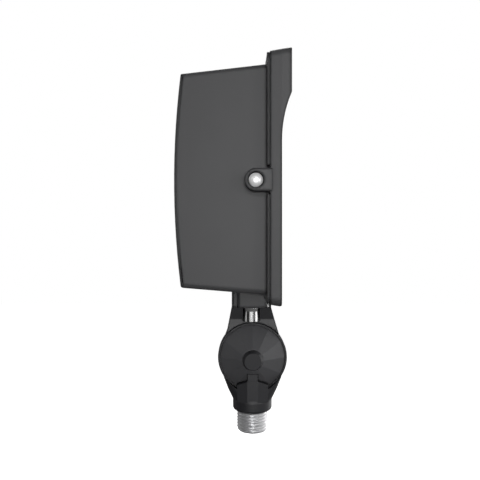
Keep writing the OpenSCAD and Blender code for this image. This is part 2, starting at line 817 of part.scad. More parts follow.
// The lug on the far side of the frame
module lug() {
    translate([lug_x, lug_seat_y, lug_z])
        rotate([-90, 0, 0])
            rotate_extrude()
                intersection() {
                    lug_flat();
                    square([lug_r, lug_y]);
                }
    translate([0, 0, lug_z])
        for (s = [0, 1])
            mirror([0, 0, s])
                along_x(lug_x, frame_rear_x + e)
                    translate([lug_seat_y, 0])
                        mirror([1, -1])
                            intersection() {
                                lug_flat();
                                square([lug_r, lug_y]);
                            }
    for (s = [-1, 1])
        translate([frame_rear_x - lug_fillet, lug_seat_y, lug_z + s * lug_r])
            rotate([-90, 0, 0])
                linear_extrude(height = lug_y - lug_edge_r - lug_seat_y)
                    difference() {
                        translate([0, min(0, -s * lug_fillet)])
                            square([lug_fillet + e, lug_fillet]);
                        translate([0, -s * lug_fillet])
                            circle(r = lug_fillet);
                    }
}

module front_frame() {
    color([0.2, 0.2, 0.21])
    difference() {
        union() {
            difference() {
                union() {
                    frame_body();
                    lug();
                    mirror([0, 1, 0])
                        lug();
                }
                translate([0, 0, light_zc])
                    along_x(pocket_x - e, hood_x + e)
                        round_rect(opening_w, opening_h, opening_r);
                translate([frame_face_x, hood_wall - frame_w / 2, frame_bottom - e])
                    cube([hood_depth + e, frame_w - 2 * hood_wall, frame_h + e - hood_wall]);
                translate([0, 0, light_zc]) {
                    along_x(joint_x - e, pocket_x)
                        round_rect(glass_w + 2 * glass_room, glass_h + 2 * glass_room,
                                   glass_corner_r + glass_room);
                    along_x(frame_rear_x, tongue_x)
                        tongue_flat(gap);
                }
            }
            clip_places()
                rod_x(glass_rear, tongue_x + e, clip_boss_r);
        }
        clip_places()
            rod_x(glass_rear - e, pocket_x + hole_end, small_r + screw_fit);
        for (s = [-1, 1])
            translate([lug_x, 0, lug_z])
                scale([1, s, 1]) {
                    rod_y(lug_seat_y - e, lug_y + e, side_screw_r + screw_fit);
                    rod_y(lug_y - side_seat_d, lug_y + e, side_seat_r);
                }
    }
}

module lens_glass() {
    color([0.8, 0.88, 0.9, 0.4])
    translate([0, 0, light_zc])
        along_x(glass_rear, glass_x)
            round_rect(glass_w, glass_h, glass_corner_r);
}

module lens_gasket() {
    color([0.08, 0.08, 0.08])
    translate([0, 0, light_zc])
        along_x(glass_x, pocket_x)
            ring_rect(glass_w, glass_h, glass_corner_r, lens_gasket_w);
}

module housing_gasket() {
    color([0.08, 0.08, 0.08])
    translate([0, 0, light_zc])
        along_x(tongue_x - gasket_d, tongue_x)
            gasket_flat();
}

module lens_clips() {
    color([0.75, 0.75, 0.76])
    for (sz = [-1, 1], i = [-1.5 : 1 : 1.5])
        translate([glass_rear - clip_t, i * clip_pitch, light_zc + sz * clip_z])
            difference() {
                translate([0, -clip_w / 2, min(-sz * clip_reach, sz * clip_heel)])
                    cube([clip_t, clip_w, clip_reach + clip_heel]);
                rod_x(-e, clip_t + e, small_r + screw_fit);
            }
}

// A small screw along X, its head's seat at x = 0 and its tip at -l
module small_screw(l) {
    difference() {
        union() {
            rod_x(-l, e / 2, small_r);
            rod_x(0, small_head_h, small_head_r);
        }
        translate([small_head_h - 1, 0, 0])
            rotate([0, 90, 0])
                cylinder(h = 2, r = small_socket_r, $fn = 6);
    }
}

module clip_screws() {
    color([0.75, 0.75, 0.76])
    clip_places()
        translate([glass_rear - clip_t, 0, 0])
            mirror([1, 0, 0])
                small_screw(clip_t + pocket_x - glass_rear);
}

module side_screws() {
    color([0.8, 0.8, 0.8])
    for (s = [-1, 1])
        translate([lug_x, s * (lug_y - side_seat_d), lug_z])
            scale([1, s, 1])
                difference() {
                    union() {
                        rod_y(-side_screw_l, e / 2, side_screw_r);
                        intersection() {
                            rod_y(0, side_head_h, side_head_r);
                            translate([0, side_head_h - side_dome_r, 0])
                                sphere(r = side_dome_r);
                        }
                    }
                    translate([0, side_head_h - socket_d, 0])
                        rotate([-90, 0, 0])
                            cylinder(h = 2 * socket_d, r = side_socket / 2 / cos(30), $fn = 6);
                }
}

// Places of the LED packages on their board
module led_places() {
    for (i = [0 : led_cols - 1], j = [0 : led_rows - 1])
        translate([led_x, (i - (led_cols - 1) / 2) * pitch_y,
                   light_zc + (j - (led_rows - 1) / 2) * pitch_z])
            children();
}

module reflector() {
    color([0.85, 0.86, 0.87])
    difference() {
        union() {
            translate([0, 0, light_zc])
                along_x(reflector_x - reflector_t, reflector_x)
                    round_rect(plate_w - 2 * reflector_in, plate_h - 2 * reflector_in, reflector_corner_r);
            translate([0, 0, light_zc])
                along_x(led_x + led_h + gap, reflector_x - e)
                    round_rect(board_w - 2 * solder_edge, board_h - 2 * solder_edge, reflector_corner_r);
            four(post_y, post_z)
                rod_x(plate_x, reflector_x - e, post_r);
        }
        led_places()
            rotate([0, 90, 0])
                cylinder(h = reflector_x - led_x + skin, r1 = cup_r0, r2 = cup_r1);
        four(post_y, post_z) {
            rod_x(plate_x - e, reflector_x, small_r + screw_fit);
            rod_x(reflector_x - small_head_h, reflector_x + e, small_head_r + screw_fit);
        }
    }
}

module reflector_screws() {
    color([0.75, 0.75, 0.76])
    four(post_y, post_z)
        translate([reflector_x - small_head_h, 0, 0])
            small_screw(reflector_x - small_head_h - plate_x + plate_t);
}

module led_board() {
    color([0.9, 0.9, 0.88])
    translate([0, 0, light_zc])
        along_x(pad_x, led_x)
            round_rect(board_w, board_h, board_corner_r);
}

module leds() {
    color([0.95, 0.85, 0.4])
    led_places()
        translate([0, -led_side / 2, -led_side / 2])
            cube([led_h, led_side, led_side]);
}

module thermal_pad() {
    color([0.5, 0.55, 0.6])
    translate([0, 0, light_zc])
        along_x(plate_x, pad_x)
            round_rect(board_w, board_h, board_corner_r);
}

module led_plate() {
    color([0.7, 0.71, 0.72])
    difference() {
        translate([0, 0, light_zc])
            along_x(plate_x - plate_t, plate_x)
                round_rect(plate_w, plate_h, plate_corner_r);
        four(boss_y, boss_z)
            rod_x(plate_x - plate_t - e, plate_x + e, small_r + screw_fit);
        four(post_y, post_z)
            rod_x(plate_x - plate_t - e, plate_x + e, small_r + screw_fit);
        for (s = [-1, 1])
            translate([plate_x - plate_t - e, s * lead_y, lead_z])
                rod_x(0, plate_t + 2 * e, lead_r + gap);
    }
}

module plate_screws() {
    color([0.75, 0.75, 0.76])
    four(boss_y, boss_z)
        translate([plate_x, 0, 0])
            small_screw(plate_screw_l);
}

module led_driver() {
    color([0.15, 0.15, 0.16])
    translate([0, 0, driver_z])
        along_x(floor_x + bracket_t, floor_x + bracket_t + driver_t)
            round_rect(driver_w, driver_h, driver_corner_r);
}

module driver_bracket() {
    color([0.7, 0.71, 0.72])
    translate([floor_x, 0, driver_z]) {
        along_x(0, bracket_t)
            square([driver_w + 2 * (ear_gap + bracket_t), ear_h], center = true);
        for (s = [-1, 1])
            scale([1, s, 1])
                translate([0, driver_w / 2, -ear_h / 2])
                    difference() {
                        union() {
                            translate([0, ear_gap, 0])
                                cube([driver_post_h + bracket_t, bracket_t, ear_h]);
                            translate([driver_post_h, ear_gap, 0])
                                cube([bracket_t, ear_l - ear_gap, ear_h]);
                        }
                        translate([driver_post_h, driver_post_out, ear_h / 2])
                            rod_x(-e, bracket_t + e, small_r + screw_fit);
                    }
    }
}

module driver_screws() {
    color([0.75, 0.75, 0.76])
    for (s = [-1, 1])
        translate([floor_x + driver_post_h + bracket_t, s * (driver_w / 2 + driver_post_out),
                   driver_z])
            small_screw(driver_screw_l);
}

module terminal_block() {
    color([0.9, 0.9, 0.86])
    difference() {
        translate([floor_x, -terminal_w / 2, terminal_z - terminal_h / 2])
            cube([terminal_d, terminal_w, terminal_h]);
        for (i = [-1 : 1])
            translate([floor_x, i * terminal_pitch, terminal_z]) {
                rod_x(terminal_d - terminal_hole_d + e, terminal_d + e, terminal_screw_r);
                translate([terminal_hole_x, 0, -terminal_h / 2 - e])
                    cylinder(h = terminal_hole_d + e, r = terminal_wire_r);
                translate([terminal_hole_x, 0, terminal_h / 2 - terminal_hole_d + e])
                    cylinder(h = terminal_hole_d, r = lead_r);
            }
    }
}

module ground_screw() {
    color([0.3, 0.6, 0.3])
    translate([floor_x, -ground_y, ground_z])
        small_screw(ground_screw_l);
}

// A lead through a list of points
module lead(points) {
    for (i = [0 : len(points) - 2]) {
        d = points[i + 1] - points[i];
        translate(points[i])
            rotate([0, acos(d[2] / norm(d)), atan2(d[1], d[0])])
                cylinder(h = norm(d), r = lead_r);
    }
    for (i = [1 : 1 : len(points) - 2])
        translate(points[i])
            sphere(r = lead_r);
}

module led_leads() {
    color([0.7, 0.1, 0.1])
    for (s = [-1, 1]) {
        x = floor_x + bracket_t + driver_t / 2;
        x_end = pad_x + lead_front;
        y = s * lead_y;
        driver_top = driver_z + driver_h / 2;
        z_end = light_zc + board_h / 2 - solder_edge + lead_r;
        lead([[x, y, driver_top], [x, y, driver_top + lead_rise], [x + lead_turn, y, lead_z],
              [x_end, y, lead_z], [x_end, y, z_end]]);
    }
}

module driver_leads() {
    color([0.1, 0.1, 0.1])
    for (i = [-1 : 1])
        translate([floor_x + terminal_hole_x, i * terminal_pitch, 0])
            lead([[0, 0, terminal_z + terminal_h / 2 - terminal_hole_d + e],
                  [0, 0, driver_z - driver_h / 2]]);
}

module breather_vent() {
    nut_z = low_z(vent_x - vent_nut_r) + wall;
    color([0.1, 0.1, 0.1])
    translate([vent_x, vent_y, 0])
        difference() {
            union() {
                translate([0, 0, vent_seat_z() - vent_hex_h])
                    cylinder(h = vent_hex_h, r = vent_hex_r, $fn = 6);
                translate([0, 0, vent_seat_z() - vent_hex_h / 2])
                    cylinder(h = nut_z + vent_nut_h - vent_seat_z() + vent_hex_h, r = vent_r);
                translate([0, 0, nut_z])
                    cylinder(h = vent_nut_h, r = vent_nut_r, $fn = 6);
            }
            translate([0, 0, vent_seat_z() - 2 * vent_hex_h])
                cylinder(h = 3 * wall + vent_nut_h, r = vent_bore_r);
        }
}

// The upper arm seen from the side
module arm_flat() {
    r = disc_r - disc_edge_r / 2;
    x = r * cos(shoulder_angle);
    z = knuckle_z + r * sin(shoulder_angle);
    polygon([[arm_top_rear, neck_z], [arm_top_front, neck_z], [arm_shoulder, arm_shoulder_z], [x, z],
             [0, knuckle_z], [-x, z], [-arm_shoulder, arm_shoulder_z]]);
}

// A knuckle disc on the far side, with its boss, cover seat and groove
module far_disc() {
    rotate([-90, 0, 0])
        rotate_extrude()
            difference() {
                union() {
                    translate([0, disc_in])
                        square([disc_r, disc_t - disc_edge_r]);
                    translate([0, disc_in])
                        square([disc_r - disc_edge_r, disc_t]);
                    translate([disc_r - disc_edge_r, disc_out - disc_edge_r])
                        circle(r = disc_edge_r);
                    translate([0, disc_in])
                        square([pivot_boss_r, disc_t + pivot_boss_h]);
                }
                translate([pivot_boss_r, cap_foot])
                    square([cap_r + cap_room - pivot_boss_r, disc_t]);
                translate([groove_r0, disc_in - e])
                    square([groove_r1 - groove_r0, groove_d + e]);
                translate([-e, disc_in - e])
                    square([pivot_r + pivot_fit + e, disc_t + 2 * pivot_boss_h + 2 * e]);
                translate([-disc_r, 0])
                    square([disc_r, 2 * disc_out]);
            }
}

module upper_arm() {
    color([0.14, 0.14, 0.15])
    difference() {
        union() {
            translate([0, 0, knuckle_z])
                far_disc();
            difference() {
                intersection() {
                    along_y(arm_top_w + 2 * e)
                        arm_flat();
                    rotate([90, 0, 90])
                        linear_extrude(height = 3 * disc_r, center = true)
                            polygon([[-arm_t / 2, knuckle_z], [-arm_t / 2, flare_z], [-arm_top_w / 2, neck_z],
                                     [arm_top_w / 2, neck_z], [arm_t / 2, flare_z], [arm_t / 2, knuckle_z]]);
                }
                translate([0, 0, knuckle_z]) {
                    rod_y(-arm_top_w, disc_in, arm_clear_r);
                    rod_y(-e, arm_top_w, disc_r - disc_edge_r);
                }
            }
        }
        translate([stud_x, -stud_y, stud_z - gap]) {
            cylinder(h = neck_z - stud_z, r = stud_r + stud_gap);
            translate([0, 0, neck_z - stud_z + gap - stud_flare_h])
                cylinder(h = stud_flare_h + skin, r1 = stud_r + stud_gap, r2 = stud_top_r + stud_gap);
            translate([-stud_r - stud_gap, -arm_top_w, 0])
                cube([2 * (stud_r + stud_gap), arm_top_w, neck_z]);
        }
        for (i = [-1 : 1])
            translate([i * wire_bore_pitch, disc_in + wire_bore_y, knuckle_z + groove_r1 - 2 * e])
                cylinder(h = flare_z - knuckle_z - groove_r1 + 3 * e, r = wire_bore_r);
        translate([-wire_pocket_w / 2, disc_in + wire_bore_y - wire_bore_r - skin, flare_z + e / 2])
            cube([wire_pocket_w, wire_pocket_t, wire_pocket_h]);
        translate([wire_x, wire_y, flare_z + e])
            cylinder(h = neck_z, r = wire_r);
        for (x = neck_screw_x)
            translate([x, neck_screw_y, neck_screw_low - skin])
                cylinder(h = neck_z, r = neck_screw_r + screw_fit);
        translate([pin_x, -pin_y, pin_z])
            cylinder(h = neck_z, r = pin_r + screw_fit);
    }
}

module neck_stud() {
    color([0.8, 0.8, 0.81])
    translate([stud_x, -stud_y, 0]) {
        translate([0, 0, stud_z])
            cylinder(h = neck_z - stud_z, r = stud_r);
        translate([0, 0, neck_z - stud_flare_h])
            cylinder(h = stud_flare_h, r1 = stud_r, r2 = stud_top_r);
        translate([0, 0, neck_z - e])
            cylinder(h = stud_thread_l + e - skin, r = stud_thread_r);
    }
}

module neck_pin() {
    color([0.8, 0.8, 0.81])
    translate([pin_x, -pin_y, pin_z])
        cylinder(h = pin_l, r = pin_r);
}

module neck_screws() {
    color([0.75, 0.75, 0.76])
    for (x = neck_screw_x)
        translate([x, neck_screw_y, 0])
            difference() {
                union() {
                    translate([0, 0, neck_screw_low])
                        cylinder(h = neck_boss_top - neck_screw_low + e, r = neck_screw_r);
                    translate([0, 0, neck_boss_top])
                        cylinder(h = neck_head_h, r = neck_head_r);
                }
                translate([0, 0, neck_boss_top + neck_head_h - socket_d])
                    cylinder(h = 2 * socket_d, r = neck_socket_r, $fn = 6);
            }
}

// A round disc whose roof falls away on even sides
module roof(r, y0, y1, foot, top, y_foot) {
    slope = cap_h / (foot - top);
    k = disc_edge_r * 4;
    difference() {
        rod_y(y0, y1, r);
        for (i = [0 : cap_sides - 1])
            rotate([0, (i + 0.5) * 360 / cap_sides, 0])
                linear_extrude(height = 3 * disc_r, center = true)
                    polygon([[foot + k, y_foot - k * slope], [top - k, y_foot + cap_h + k * slope],
                             [3 * disc_r, y_foot + cap_h + k * slope], [3 * disc_r, y_foot - k * slope]]);
    }
}

// The far cover, a low even-sided shell on a round foot
module cap(hole_r) {
    foot = cap_foot_r;
    top = cap_flat_r;
    drop = cap_wall / cos(atan(cap_h / (foot - top)));
    difference() {
        roof(cap_r, cap_foot, cap_top, foot, top, disc_out);
        roof(cap_r - cap_wall, cap_foot - e, cap_top - cap_wall, foot, top, disc_out - drop);
        rod_y(cap_foot, cap_top + e, hole_r);
    }
}

module plug() {
    rotate([-90, 0, 0]) {
        translate([0, 0, cap_top])
            cylinder(h = plug_h, r1 = plug_r, r2 = plug_face_r);
        translate([0, 0, cap_top - plug_shank_l])
            cylinder(h = plug_shank_l + e, r = plug_shank_r);
    }
}

module far_cap() {
    color([0.12, 0.12, 0.13])
    translate([0, 0, knuckle_z])
        cap(plug_hole_r);
}

module far_plug() {
    color([0.1, 0.1, 0.11])
    translate([0, 0, knuckle_z])
        plug();
}

// The flat-sided column under the near cover, all faces moved out by grow
module column_top(grow) {
    side = column_half + grow;
    front = column_front_half + grow / 2;
    strip = column_front_half - gap + grow;
    y_side = -column_side_y - grow / 2;
    y_front = -column_front_y - grow;
    intersection() {
        translate([0, 0, collar_h - e - grow])
            linear_extrude(height = knuckle_z - collar_h)
                polygon([[-side, 0], [-side, y_side], [-front, y_front], [front, y_front],
                         [side, y_side], [side, 0]]);
        along_y(2 * disc_r)
            polygon([[-side - e, 0], [-side - e, column_side_z + grow], [-side, column_side_z + grow],
                     [-front, column_shoulder_z + grow], [-strip, column_shoulder_z + grow],
                     [-strip, column_top_z + grow], [strip, column_top_z + grow],
                     [strip, column_shoulder_z + grow], [front, column_shoulder_z + grow],
                     [side, column_side_z + grow], [side + e, column_side_z + grow], [side + e, 0]]);
    }
}

module near_cap() {
    color([0.12, 0.12, 0.13])
    difference() {
        translate([0, 0, knuckle_z])
            mirror([0, 1, 0])
                cap(plug_hole_r);
        column_top(gap);
    }
}

module near_plug() {
    color([0.1, 0.1, 0.11])
    translate([0, 0, knuckle_z])
        mirror([0, 1, 0])
            plug();
}

module pivot_bolt() {
    color([0.75, 0.75, 0.76])
    translate([0, 0, knuckle_z]) {
        rod_y(-boss_out - washer_t - e, boss_out + gap + washer_t + nut_h + bolt_over, pivot_r);
        translate([0, -boss_out - washer_t - bolt_head_h, 0])
            rotate([-90, 0, 0])
                cylinder(h = bolt_head_h, r = bolt_af / 2 / cos(30), $fn = 6);
    }
}

module pivot_washers() {
    color([0.75, 0.75, 0.76])
    translate([0, 0, knuckle_z])
        for (y = [-boss_out - washer_t, boss_out + gap])
            difference() {
                rod_y(y, y + washer_t, washer_r);
                rod_y(y - e, y + washer_t + e, pivot_r + pivot_fit);
            }
}

module pivot_nut() {
    color([0.75, 0.75, 0.76])
    translate([0, 0, knuckle_z])
        difference() {
            translate([0, boss_out + gap + washer_t, 0])
                rotate([-90, 0, 0])
                    cylinder(h = nut_h, r = bolt_af / 2 / cos(30), $fn = 6);
            rod_y(0, 2 * cap_top, pivot_r + 0.02);
        }
}

module friction_disc() {
    color([0.3, 0.28, 0.25])
    translate([0, 0, knuckle_z])
        difference() {
            rod_y(-disc_in - friction_seat, friction_t - disc_in - friction_seat, friction_r1);
            rod_y(-disc_out, disc_out, friction_r0);
        }
}

module knuckle_oring() {
    color([0.05, 0.05, 0.05])
    translate([0, 0, knuckle_z])
        rotate([90, 0, 0])
            rotate_extrude()
                translate([oring_r, disc_in + oring_t - 0.4])
                    circle(r = oring_t);
}

// The lower arm's funnel from the disc down to the collar
module funnel() {
    hull() {
        translate([0, 0, funnel_z - skin])
            linear_extrude(height = skin)
                round_rect(2 * funnel_half, funnel_t, 3, $fn = 32);
        translate([0, 0, funnel_mid_z - skin])
            linear_extrude(height = skin)
                round_rect(2 * funnel_mid_half, funnel_mid_t, 7, $fn = 32);
        translate([0, 0, collar_h - skin])
            cylinder(h = skin, r = collar_r - gap, $fn = 64);
    }
}

module lower_arm() {
    color([0.14, 0.14, 0.15])
    difference() {
        union() {
            translate([0, 0, knuckle_z])
                mirror([0, 1, 0])
                    far_disc();
            difference() {
                funnel();
                translate([0, 0, knuckle_z]) {
                    rod_y(-arm_top_w, -disc_in - 0.5, disc_r - disc_edge_r);
                    rod_y(-disc_in - 0.6, arm_top_w, arm_clear_r);
                }
            }
            difference() {
                column_top(0);
                translate([0, 0, knuckle_z])
                    rod_y(-cap_foot + skin, arm_top_w, arm_clear_r);
            }
            rotate_extrude()
                difference() {
                    union() {
                        square([collar_r - collar_edge_r, collar_h]);
                        translate([0, collar_edge_r])
                            square([collar_r, collar_h - collar_edge_r]);
                        translate([collar_r - collar_edge_r, collar_edge_r])
                            circle(r = collar_edge_r);
                        polygon([[0, collar_h - e], [collar_r, collar_h - e], [collar_r, collar_h],
                                 [collar_r - ring_in, collar_h + ring_h], [0, collar_h + ring_h]]);
                    }
                    translate([-disc_r, -e])
                        square([disc_r, 2 * disc_r]);
                }
        }
        translate([0, 0, -e])
            cylinder(h = shank_l + e, r = shank_r + screw_fit);
        translate([0, 0, -e])
            cylinder(h = mouth_d + e, r = nipple_r + screw_fit);
        translate([0, 0, -e])
            cylinder(h = collar_h + e, r = nipple_bore_r);
        translate([0, -shaft_y, 0])
            cylinder(h = shaft_top, r = shaft_r);
        translate([0, 0, knuckle_z]) {
            rod_y(-disc_in - friction_seat, disc_out, friction_r1 + 0.1);
            rotate([90, 0, 0])
                rotate_extrude()
                    translate([oring_r - oring_t - 0.05, disc_in - e])
                        square([2 * oring_t + 0.1, e + 2 * oring_t - 0.4]);
            rod_y(-2 * disc_out, disc_out, pivot_r + pivot_fit);
        }
    }
}

module nipple() {
    color([0.75, 0.75, 0.76])
    rotate_extrude()
        polygon([[nipple_bore_r, -nipple_l], [nipple_r - nipple_edge, -nipple_l],
                 [nipple_r, nipple_edge - nipple_l], [nipple_r, 0], [shank_r, 0], [shank_r, shank_l],
                 [nipple_bore_r, shank_l]]);
}

rear_housing();
front_frame();
lens_glass();
lens_gasket();
housing_gasket();
lens_clips();
clip_screws();
side_screws();
reflector();
reflector_screws();
led_board();
leds();
thermal_pad();
led_plate();
plate_screws();
led_driver();
driver_bracket();
driver_screws();
terminal_block();
ground_screw();
led_leads();
driver_leads();
breather_vent();
upper_arm();
neck_stud();
neck_pin();
neck_screws();
far_cap();
far_plug();
near_cap();
near_plug();
pivot_bolt();
pivot_washers();
pivot_nut();
friction_disc();
knuckle_oring();
lower_arm();
nipple();
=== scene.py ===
import json
import math

import bpy
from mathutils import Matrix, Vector


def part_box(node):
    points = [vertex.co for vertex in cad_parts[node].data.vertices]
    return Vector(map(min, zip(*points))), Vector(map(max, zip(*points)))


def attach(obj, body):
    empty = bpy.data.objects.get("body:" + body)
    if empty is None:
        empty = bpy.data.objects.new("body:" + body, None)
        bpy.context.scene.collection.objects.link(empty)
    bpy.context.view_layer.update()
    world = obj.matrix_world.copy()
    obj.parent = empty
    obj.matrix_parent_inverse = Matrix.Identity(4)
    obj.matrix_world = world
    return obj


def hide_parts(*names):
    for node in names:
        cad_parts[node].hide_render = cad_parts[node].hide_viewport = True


# A die-cast flood light on a tilting knuckle. Lengths are in metres, colours are linear.

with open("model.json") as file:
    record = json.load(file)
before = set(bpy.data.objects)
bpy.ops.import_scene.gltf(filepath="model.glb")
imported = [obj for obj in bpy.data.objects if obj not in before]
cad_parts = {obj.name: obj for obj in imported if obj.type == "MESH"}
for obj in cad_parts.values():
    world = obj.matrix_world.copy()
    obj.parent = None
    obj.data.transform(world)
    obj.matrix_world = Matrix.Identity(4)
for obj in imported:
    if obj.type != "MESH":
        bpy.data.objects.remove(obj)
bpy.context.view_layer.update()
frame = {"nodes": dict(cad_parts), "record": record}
NODES = frame["nodes"]
scene = bpy.context.scene


# Shader nodes

# Sockets of a mix node that is set to colours, which share their names with others of the node
MIX_FACTOR, MIX_A, MIX_B, MIX_RESULT = 0, 6, 7, 2
# The part of a noise's range that most of it lies in
NOISE_LOW = 0.3
NOISE_HIGH = 0.7
NOISE_ROUGH = 0.55
BEVEL_SAMPLES = 6


def feed(tree, node, inputs):
    """Gives each input its value, or a link where the value is another node's output."""
    for key, value in inputs.items():
        if isinstance(value, bpy.types.NodeSocket):
            tree.links.new(value, node.inputs[key])
        else:
            node.inputs[key].default_value = value
    return node


def add(tree, kind, inputs=None, **settings):
    """A new node with its settings and inputs."""
    node = tree.nodes.new(kind)
    for name, value in settings.items():
        setattr(node, name, value)
    return feed(tree, node, inputs or {})


def main_shader(material):
    return next(n for n in material.node_tree.nodes if n.type == "BSDF_PRINCIPLED")


def new_material(name):
    """A material, its node tree and its main shader."""
    material = bpy.data.materials.new(name)
    material.use_nodes = True
    return material, material.node_tree, main_shader(material)


def object_place(tree):
    """A point's place on the object, the same at every pose."""
    return add(tree, "ShaderNodeTexCoord").outputs["Object"]


def noise(tree, place, scale, detail=3.0):
    """A cloudy pattern from 0 to 1, finer where the scale is larger."""
    inputs = {"Vector": place, "Scale": scale, "Detail": detail, "Roughness": NOISE_ROUGH}
    return add(tree, "ShaderNodeTexNoise", inputs).outputs["Fac"]


def calc(tree, operation, first, second):
    """The result of a sum or a test on two numbers or outputs."""
    return add(tree, "ShaderNodeMath", {0: first, 1: second}, operation=operation).outputs[0]


def mix_colors(tree, factor, first, second):
    """The first colour where the factor is 0, the second where it is 1."""
    inputs = {MIX_FACTOR: factor, MIX_A: first, MIX_B: second}
    return add(tree, "ShaderNodeMix", inputs, data_type="RGBA").outputs[MIX_RESULT]


def spread(tree, source, low, high):
    """A noise brought to the range from low to high."""
    inputs = {"Value": source, "From Min": NOISE_LOW, "From Max": NOISE_HIGH, "To Min": low, "To Max": high}
    return add(tree, "ShaderNodeMapRange", inputs).outputs["Result"]


def tint(tree, source, color, change):
    """The colour, wandering from a darker to a lighter shade."""
    dark = [c * (1 - change) for c in color] + [1]
    light = [min(1, c * (1 + change)) for c in color] + [1]
    return mix_colors(tree, source, dark, light)


# Materials

# Scale and detail of the noise that the colour wanders with
WIDE_GRAIN = 40
WIDE_DETAIL = 2.0
# Height of the grain where its strength is 1
GRAIN_DEPTH = 0.00004
GLASS_GRAIN = 300
GLASS_IOR = 1.5


def finish(name, color, rough, metallic=0.0, grain=2600, bump=0.2, change=0.06, rough_change=0.05,
           edge=0.0004, stretch=None, shine=0.5):
    """A painted, moulded or metal surface with its own grain and softened edges.

    grain is the scale of the fine noise and bump its strength, change and rough_change say how far
    colour and roughness wander, edge is the radius of the softened edges, stretch packs the grain
    closer along each axis, and shine is the strength of the reflection.
    """
    material, tree, shader = new_material(name)
    feed(tree, shader, {"Base Color": (*color, 1), "Roughness": rough, "Metallic": metallic,
                        "Specular IOR Level": shine})
    place = object_place(tree)
    if stretch:
        place = add(tree, "ShaderNodeMapping", {"Vector": place, "Scale": stretch}).outputs["Vector"]
    fine = noise(tree, place, grain)
    wide = noise(tree, place, WIDE_GRAIN, WIDE_DETAIL)
    relief = add(tree, "ShaderNodeBump", {"Strength": bump, "Distance": GRAIN_DEPTH, "Height": fine})
    if edge:
        rounded = add(tree, "ShaderNodeBevel", {"Radius": edge}, samples=BEVEL_SAMPLES)
        feed(tree, relief, {"Normal": rounded.outputs["Normal"]})
    feed(tree, shader, {"Base Color": tint(tree, wide, color, change),
                        "Roughness": spread(tree, fine, rough - rough_change, rough + rough_change),
                        "Normal": relief.outputs["Normal"]})
    return material


def clear(name, color, rough):
    """Clear glass, a little uneven."""
    material, tree, shader = new_material(name)
    feed(tree, shader, {"Base Color": (*color, 1), "Roughness": rough, "Transmission Weight": 1.0,
                        "IOR": GLASS_IOR})
    uneven = noise(tree, object_place(tree), GLASS_GRAIN)
    feed(tree, shader, {"Roughness": spread(tree, uneven, rough * 0.5, rough * 1.5)})
    return material


def zone(tree, z_low, x_low=None):
    """A mask: 1 above z_low and, if x_low is given, in front of it, and 0 elsewhere."""
    axes = add(tree, "ShaderNodeSeparateXYZ", {"Vector": object_place(tree)}).outputs
    above = calc(tree, "GREATER_THAN", axes["Z"], z_low)
    if x_low is None:
        return above
    return calc(tree, "MULTIPLY", calc(tree, "GREATER_THAN", axes["X"], x_low), above)


def overlay(material, mask, color, levels):
    """Another colour and other levels of the main shader where the mask is 1."""
    tree = material.node_tree
    shader = main_shader(material)
    under = shader.inputs["Base Color"].links[0].from_socket
    feed(tree, shader, {"Base Color": mix_colors(tree, mask, under, (*color, 1))})
    for key, value in levels.items():
        socket = shader.inputs[key]
        under = socket.links[0].from_socket if socket.is_linked else socket.default_value
        level = add(tree, "ShaderNodeMapRange", {"Value": mask, "To Min": under, "To Max": value})
        feed(tree, shader, {key: level.outputs["Result"]})


# Painted shade: the rounded edges of a casting are painted darker and duller than its flat faces, standing
# in for the shade they fall into
EDGE_SHADE_COLOR = (0.014, 0.014, 0.015)
EDGE_SHADE_SHINE = 0.15
# Cosines of the turn of the rounded normal at which the painted edge shade starts and at which it is full
EDGE_SHADE_START = 0.995
EDGE_SHADE_FULL = 0.93


def painted_edge_shade(material, radius):
    """Paints shade on the edges of a casting, darker where a normal rounded over the radius leaves the
    face's own.
    """
    tree = material.node_tree
    rounded = add(tree, "ShaderNodeBevel", {"Radius": radius}, samples=BEVEL_SAMPLES)
    face = add(tree, "ShaderNodeNewGeometry")
    turn = add(tree, "ShaderNodeVectorMath", {0: rounded.outputs["Normal"], 1: face.outputs["Normal"]},
               operation="DOT_PRODUCT")
    mask = add(tree, "ShaderNodeMapRange",
               {"Value": turn.outputs["Value"], "From Min": EDGE_SHADE_START, "From Max": EDGE_SHADE_FULL})
    overlay(material, mask.outputs["Result"], EDGE_SHADE_COLOR, {"Specular IOR Level": EDGE_SHADE_SHINE})


# Of the stainless parts, only the screws of the lugs are above SCREW_Z
SCREW_Z = 0.12
# Of the stainless parts, only the neck pin is in front of PIN_X, and it is pale above PIN_Z
PIN_X = 0.0075
PIN_Z = 0.07
PALE_COLOR = (0.85, 0.85, 0.85)
PALE_LEVELS = {"Metallic": 0.35, "Roughness": 0.35}


def pale_heads(material):
    """Brushed and pale on the screws of the lugs and on the neck pin."""
    tree = material.node_tree
    pin = zone(tree, PIN_Z, PIN_X)
    screws = zone(tree, SCREW_Z)
    overlay(material, calc(tree, "MAXIMUM", pin, screws), PALE_COLOR, PALE_LEVELS)


# Height from which the upper arm is painted black, as painted shade for the down-facing band under the neck
SHADE_BAND_Z = 0.063
BAND_SHADE_COLOR = (0.033, 0.033, 0.035)
BAND_SHADE_SHINE = 0.3


def painted_band_shade(material):
    """Painted shade: black on the upper end of the arm, where shade falls under the neck."""
    mask = zone(material.node_tree, SHADE_BAND_Z)
    overlay(material, mask, BAND_SHADE_COLOR, {"Specular IOR Level": BAND_SHADE_SHINE})


